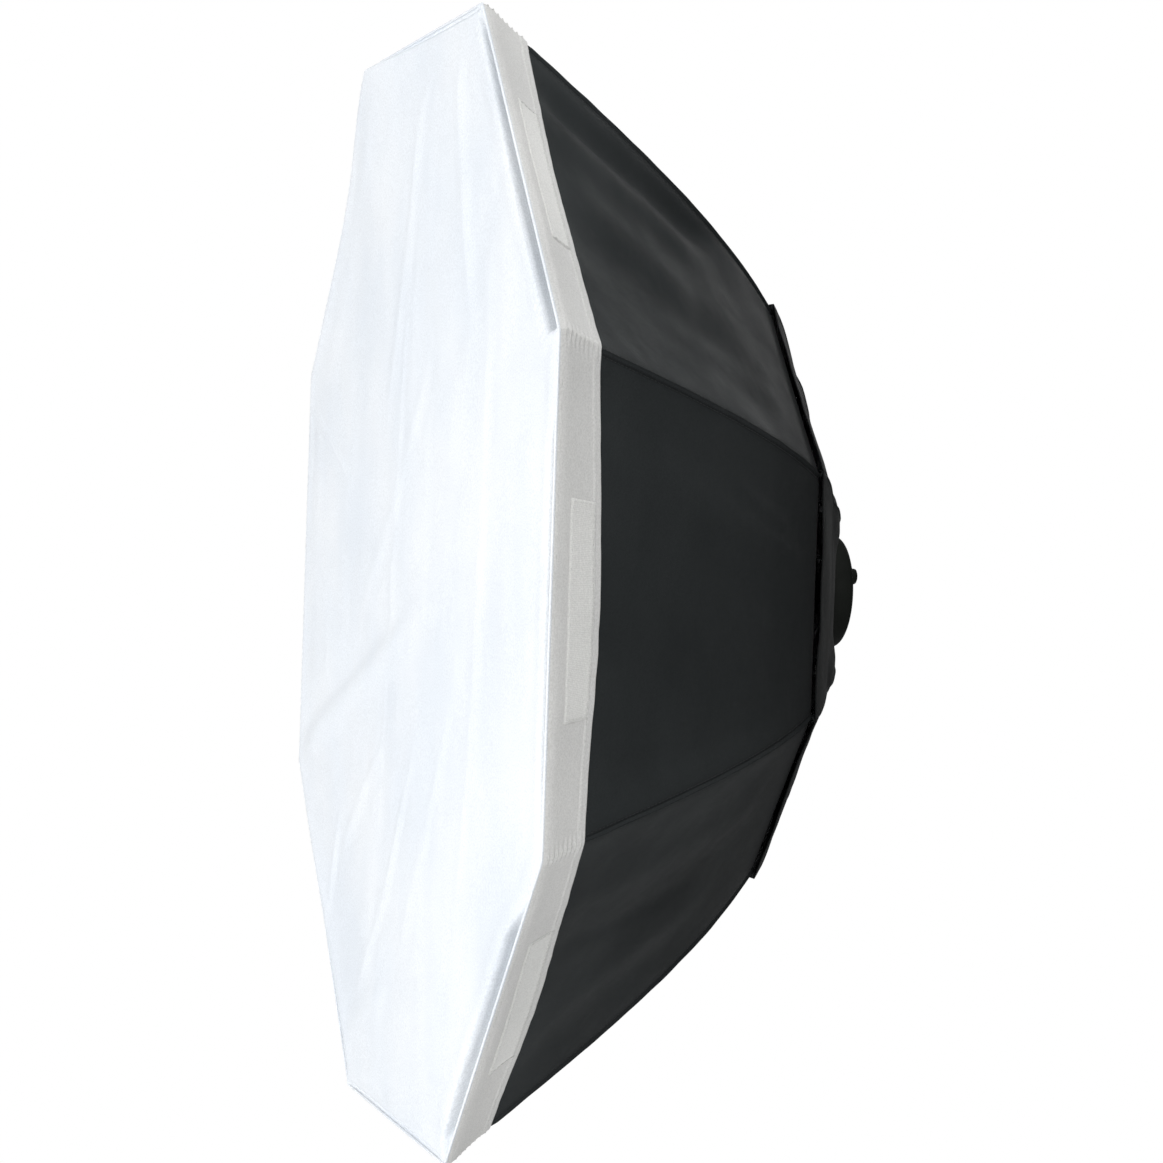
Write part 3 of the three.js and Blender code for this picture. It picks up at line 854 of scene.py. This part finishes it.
def shell_folds(k):
    """Creases of side k. The sides not listed above have four drawn at random."""
    if k in SHELL_FOLDS:
        return SHELL_FOLDS[k]
    draw = random.Random(40 + k)
    folds = []
    for _ in range(4):
        start = (draw.uniform(-0.11, 0.11), draw.uniform(0.04, 0.12))
        end = (0.6 * start[0] + draw.uniform(-0.02, 0.02), draw.uniform(0.2, 0.285))
        wide = draw.uniform(9, 22)
        high = draw.uniform(0.08, 0.14) * wide * draw.choice((1, 1, -1))
        folds.append((start, end, wide, high, draw.uniform(-5, 5)))
    return folds


SHELL_SAG = 0.042  # of half a side's width, drawn in between its ribs


def shell_height(k, length, share):
    """How far a side of the shell stands off the flat: drawn in between its ribs, with soft creases."""
    side = side_of(length, share)
    back = RIB_LENGTH - length
    width = side_of(length, 1.0)
    drawn = 1 - (2 * share - 1) ** 2
    slack = 0.1 + 0.9 * smooth((length - SHELL_BACK) / (70 * MM))
    from_rib = np.minimum(share, 1 - share) * 2 * width
    height = -SHELL_SAG * width * drawn * slack - 1.0 * MM * ridge(from_rib, 3.5 * MM)
    held = smooth(drawn / 0.35) * slack
    place = np.stack([side, back, 0 * side + 0.37 * k], axis=1)
    height += held * (2.2 * MM * waves(place, 7, k) + 0.7 * MM * waves(place, 24, k + 20))
    for crease in shell_folds(k):
        height += held * fold(side, back, *crease)
    return height * smooth((back - 2 * MM) / (40 * MM) * 0.75 + 0.25)


def cloth_side(name, k, lengths, out, height_of, material, columns):
    """The cloth of one side, dark outside and silver inside."""
    length, share = grid(lengths, np.linspace(0, 1, columns))
    points = on_panel(k, length, share, out(length), height_of(k, length, share))
    uv = np.stack([side_of(length, share), length], axis=1)
    faces = grid_faces(len(lengths), columns)
    made = new_object(name, points, faces, [material, MATERIAL["silver_lining"]], uv=uv)
    return face_outward(made)


def face_outward(obj):
    """Turns an open sheet's faces away from the lamp axis."""
    mesh = obj.data
    middle = mesh.polygons[len(mesh.polygons) // 2]
    centre = middle.center
    if middle.normal.dot(Vector((centre.x, 0.3, centre.z))) < 0:
        mesh.flip_normals()
    return obj


SHELL_OUT = RIB_INSET - SHELL_INSET


def shell_side(k):
    """One side of the black shell."""
    lengths = np.linspace(SHELL_BACK, RIB_LENGTH - 4 * MM, 84)
    made = cloth_side(
        f"shell_side_{k}", k, lengths, lambda length: SHELL_OUT, shell_height, MATERIAL["shell_nylon"], 72,
    )
    thicken(made, THIN_CLOTH, inner_slot=1)
    return apply_modifiers(made)


VENT_START = 9 * MM
VENT_HEM = 9 * MM
BRACKET_AT = 120 * MM  # the middle of a rib's bracket, along the rib
EDGE_FROM = 125 * MM  # from here the rear cover rises towards its free edge
VENT_SNUG = 3.4 * MM  # the rear cover lies this far off the middle of the ribs where it is tightest


def vent_out(length):
    """How far the rear cover lies off a rib. It rises at the crown, over the brackets and at its edge."""
    crown_rise = 2 * MM * (1 - smooth(length / (45 * MM)))
    edge_rise = VENT_LIFT * smooth((length - EDGE_FROM) / (VENT_EDGE - BRACKET_AT))
    return VENT_SNUG + crown_rise + np.maximum(edge_rise, bracket_rise(length))


def bracket_rise(length):
    """How far the rear cover is held up over a rib's bracket."""
    return 2.8 * MM * (1 - smooth((np.abs(length - BRACKET_AT) - 8 * MM) / (22 * MM)))


def vent_height(k, length, share):
    """Small waves and crumples of the rear cover, and its doubled hem."""
    side = side_of(length, share)
    along = length / VENT_EDGE
    place = np.stack([side, length, 0 * side + 0.53 * k], axis=1)
    held = smooth((1 - (2 * share - 1) ** 2) / 0.5)
    hem = 0.5 * MM * smooth((length - VENT_EDGE + VENT_HEM) / (1.5 * MM))
    rough = 1.6 * MM * waves(place, 11, k + 40) + 1.0 * MM * waves(place, 26, k + 60)
    from_rib = side_of(length, 1.0) - np.abs(side)
    before_edge = 1 - smooth((length - EDGE_FROM) / (25 * MM))
    settled = bracket_rise(length) * smooth((from_rib - 7 * MM) / (18 * MM)) * before_edge
    return hem - settled + along * held * (rough + 0.5 * MM * waves(place, 55, k + 80))


def vent_side(k):
    """One side of the loose rear cover, with close rows of points along its hem."""
    plain = np.linspace(VENT_START, VENT_EDGE - VENT_HEM - 2 * MM, 46)
    hem = np.linspace(VENT_EDGE - VENT_HEM - 1 * MM, VENT_EDGE, 9)
    lengths = np.concatenate([plain, hem])
    made = cloth_side(f"vent_side_{k}", k, lengths, vent_out, vent_height, MATERIAL["vent_nylon"], 56)
    thicken(made, THICK_CLOTH, inner_slot=1)
    return apply_modifiers(made)


def rib_seam(k, name, lengths, out, half_width, height):
    """The pocket that a rib runs in: a narrow rounded welt along the seam, in the rib's plane."""
    across = np.linspace(-1, 1, 9)
    points, uv = [], []
    for length in lengths:
        wander = 0.5 * MM * noise.noise(Vector((length * 40, 1.7 * k, 0)))
        grown = height * (1 + 0.25 * noise.noise(Vector((length * 60, 2.9 * k, 4))))
        grown *= smooth((lengths[-1] - length) / (12 * MM) + 0.05)
        for a in across:
            lift = grown * max(math.cos(a * math.pi / 2), 0) ** 0.8 - WELT_FOOT * abs(a)
            radius, y, _, _ = over_rib(length, out(length) + lift)
            points.append(turned(radius, half_width * a + wander, y, corner_angle(k)))
            uv.append((half_width * a, length))
    faces = grid_faces(len(lengths), len(across))
    made = new_object(name, points, faces, [MATERIAL["shell_nylon"]], uv=uv)
    face_outward(made)
    thicken(made, THIN_CLOTH)
    return apply_modifiers(made)


def seam_sewing(k):
    """A row of dark stitches beside the welt, on the shell's side to its left and to its right."""
    lengths = np.linspace(SHELL_BACK + 2 * MM, RIB_LENGTH - SKIRT_LENGTH, 90)
    inset = 3.0 * MM / (2 * side_of(lengths, 1.0))
    rows = []
    for side, share in ((k, inset), ((k - 2) % SIDES + 1, 1 - inset)):
        height = shell_height(side, lengths, share)
        places = on_panel(side, lengths, share, SHELL_OUT, height + 0.1 * MM)
        normals = on_panel(side, lengths, share, SHELL_OUT, height + 1 * MM) - places
        black = MATERIAL["black_thread"]
        rows.append(stitches("row", places, normals, black, 3.6 * MM, 2.4 * MM, 0.18 * MM))
    return joined(f"seam_sewing_{k}", rows)


def sewn_seam(k, name, lengths, out, half_width, height):
    """A welt over rib k, fixed to the rib."""
    seam = rib_seam(k, name, lengths, out, half_width, height)
    return finish_piece(seam, f"rib_{k}", "shell_nylon")


def build_side(k):
    """The cloths between ribs k and k + 1, which ride on rib k, with the seams over that rib."""
    body = f"rib_{k}"
    shell = finish_piece(shell_side(k), body, "shell_nylon", f"shell_panel_{k}")
    vent = finish_piece(vent_side(k), body, "shell_nylon", f"vent_panel_{k}")
    for piece in (shell, vent):
        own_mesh(piece)
    seam_lengths = np.linspace(SHELL_BACK - 1 * MM, RIB_LENGTH - SKIRT_LENGTH + 3 * MM, 100)
    seam = sewn_seam(k, f"rib_seam_{k}", seam_lengths, lambda length: SHELL_OUT, 1.6 * MM, 1.3 * MM)
    cover_lengths = np.linspace(VENT_START, VENT_EDGE, 50)
    cover = sewn_seam(k, f"cover_seam_{k}", cover_lengths, vent_out, 1.8 * MM, 0.7 * MM)
    sewing = finish_piece(seam_sewing(k), body, "shell_nylon")


# -------- crown cap and release button

def crown_cover():
    """The moulded rear cap: a straight side wall, a rounded edge and a slightly domed top."""
    rim, top = cap_low.y, cap_high.y - 2 * MM
    wall, rounding, crown_height = 2 * MM, 3.5 * MM, 13.3 * MM
    start = top - crown_height
    outside = [(CAP_RADIUS - 0.5 * MM, rim), (CAP_RADIUS, rim + 0.6 * MM), (CAP_RADIUS, start - 1 * MM)]
    for i in range(7):
        a = math.radians(66) * i / 6
        outside.append((CAP_RADIUS - rounding * (1 - math.cos(a)), start + rounding * math.sin(a)))
    dome_edge, dome_start = outside[-1]
    for i in range(1, 16):
        share = i / 16
        risen = 1 - (1 - share) ** 1.3
        outside.append((dome_edge * (1 - share), dome_start + (top - dome_start) * risen))
    outside.append((0, top))
    inside = [
        (0, top - wall - 1 * MM), (CAP_RADIUS - rounding - 4 * MM, start + 2 * MM),
        (CAP_RADIUS - wall, start - 2 * MM), (CAP_RADIUS - wall, rim),
    ]
    return lathe("crown_cover", outside[::-1] + inside[::-1], [MATERIAL["moulded_cap"]], segments=128)


BUTTON_RADIUS = 5.5 * MM
BUTTON_CENTRE = (0, (button_low.z + button_high.z) / 2)


def press_button():
    """A short pin with a rounded edge and a slightly hollow top."""
    radius, top, base = BUTTON_RADIUS, button_high.y - 2 * MM, cap_high.y - 8 * MM
    outline = [
        (0, base), (radius, base), (radius, top - 1.2 * MM), (radius - 0.4 * MM, top - 0.4 * MM),
        (radius - 1.2 * MM, top), (0, top - 0.3 * MM),
    ]
    return lathe("press_button", outline, [MATERIAL["moulded_cap"]], segments=64, centre=BUTTON_CENTRE)


def button_collar():
    """The raised ring of the cap round the button."""
    radius, lip = BUTTON_RADIUS, cap_high.y - 3.2 * MM
    outline = [
        (radius + 0.5 * MM, lip - 5 * MM), (radius + 0.5 * MM, lip + 0.9 * MM),
        (radius + 1.1 * MM, lip + 1.4 * MM), (radius + 2.4 * MM, lip + 1.2 * MM),
        (radius + 3.2 * MM, lip - 5 * MM),
    ]
    return lathe("button_collar", outline, [MATERIAL["moulded_cap"]], segments=64, centre=BUTTON_CENTRE)


def build_crown():
    """The rear cap with its collar, and the release button."""
    finish_piece(crown_cover(), "hub", "moulded_cap", "crown_cap")
    finish_piece(press_button(), "release_button", "moulded_cap", "release_button")
    finish_piece(button_collar(), "hub", "moulded_cap")


# -------- frame parts that keep their CAD shape

def dress_nodes():
    """Gives each CAD node that still shows its finish, and rounds its edges a little."""
    finishes = {
        "crown_hub": "moulded_black", "crown_pivot_wire": "wire", "button_spring": "wire",
        "shaft": "shaft_steel", "shaft_tip": "moulded_black", "runner": "moulded_black",
        "runner_pivot_wire": "wire", "runner_latch": "moulded_black",
    }
    for k in range(1, SIDES + 1):
        finishes[f"rib_{k}"] = "rib_rod"
        finishes[f"rib_tip_{k}"] = "moulded_black"
        finishes[f"rib_bracket_{k}"] = "stamped_steel"
        finishes[f"stretcher_{k}"] = "stamped_steel"
    for name, finish in finishes.items():
        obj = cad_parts[name]
        if not obj.data.materials:
            obj.data.materials.append(None)
        for place in obj.material_slots:
            place.material = MATERIAL[finish]
        if "wire" not in finish:
            soften(obj, 0.3 * MM)


def soften(obj, width):
    """Rounds the sharp edges of a CAD piece."""
    bevel = obj.modifiers.new("edges", "BEVEL")
    bevel.width = width
    bevel.segments = 2
    bevel.limit_method = "ANGLE"
    bevel.angle_limit = math.radians(40)


# -------- studio

FLOOR = -0.9  # the box is held by its shaft, well above the floor
FLOOR_RADIUS = 2.5


def studio_floor():
    """A round grey floor."""
    steps = 48
    turns = [2 * math.pi * i / steps for i in range(steps)]
    points = [(FLOOR_RADIUS * math.cos(turn), FLOOR_RADIUS * math.sin(turn), FLOOR) for turn in turns]
    made, tree, shader = new_material("studio_floor", Roughness=0.95, Specular_IOR_Level=0.0)
    tone = between(tree, mottle(tree, 3), 0.60, 0.63)
    tree.links.new(tone, shader.inputs["Base Color"])
    floor = new_object("studio_floor", points, [tuple(range(steps))], [made])


def area_light(name, place, aim, size, watts):
    light = bpy.data.lights.new(name, "AREA")
    light.shape = "DISK"
    light.size = size
    light.energy = watts
    holder = bpy.data.objects.new(name, light)
    holder.location = place
    holder.rotation_euler = (Vector(aim) - Vector(place)).to_track_quat("-Z", "Y").to_euler()
    bpy.context.collection.objects.link(holder)


# name, place, aim, size and watts of each lamp
LAMPS = [
    ("key", (0.45, -2.6, -0.15), (0, 0, 0), 1.3, 68),
    ("fill", (2.6, 0.15, 0.4), (0, 0, 0), 1.8, 25),
    ("top", (0.9, 0.0, 2.3), (0, 0, 0), 1.6, 38),
    ("low", (0.75, -0.1, -0.85), (0.3, 0, -0.3), 0.5, 2.5),
    ("rear", (-1.6, 2.0, 1.2), (0, 0, 0), 1.2, 8),
]


def studio_world(front, back):
    """White to the camera. As light it fades from the front of the lamp axis to the back."""
    world = bpy.data.worlds.new("studio")
    bpy.context.scene.world = world
    world.use_nodes = True
    tree = world.node_tree
    tree.nodes.clear()
    seen = node(tree, "ShaderNodeLightPath").outputs["Is Camera Ray"]
    way = node(tree, "ShaderNodeTexCoord").outputs["Generated"]
    depth = node(tree, "ShaderNodeSeparateXYZ", {"Vector": way}).outputs["Y"]
    ends = {"Value": depth, "From Min": -1.0, "From Max": 1.0, "To Min": front, "To Max": back}
    light = node(tree, "ShaderNodeMapRange", ends).outputs[0]
    strength = node(tree, "ShaderNodeMath", {0: seen, 1: light}, operation="MAXIMUM").outputs[0]
    sky = node(tree, "ShaderNodeBackground", {"Color": (1, 1, 1, 1), "Strength": strength})
    node(tree, "ShaderNodeOutputWorld", {"Surface": sky.outputs[0]})


def studio_camera():
    """Nearly level and nearly a quarter turn round from the front, rolled a little."""
    azimuth, tilt, roll = math.radians(74.59), math.radians(-0.97), math.radians(1.885)
    place, lens = (2.273, -0.6166, 0.042), 106.1
    flat = math.cos(tilt)
    forward = Vector((-math.sin(azimuth) * flat, math.cos(azimuth) * flat, math.sin(tilt)))
    level = Vector((math.cos(azimuth), math.sin(azimuth), 0))
    right = Matrix.Rotation(-roll, 3, forward) @ level
    up = right.cross(forward)
    camera = bpy.data.cameras.new("studio_camera")
    camera.lens = lens
    holder = bpy.data.objects.new("studio_camera", camera)
    bpy.context.collection.objects.link(holder)
    turn = Matrix((right, up, -forward)).transposed().to_4x4()
    holder.matrix_world = Matrix.Translation(place) @ turn
    bpy.context.scene.camera = holder


build_front()
for number in range(1, SIDES + 1):
    build_side(number)
build_crown()
dress_nodes()
studio_floor()
studio_world(front=0.36, back=0.12)
for lamp in LAMPS:
    area_light(*lamp)
studio_camera()
bpy.context.scene.view_settings.view_transform = "Standard"
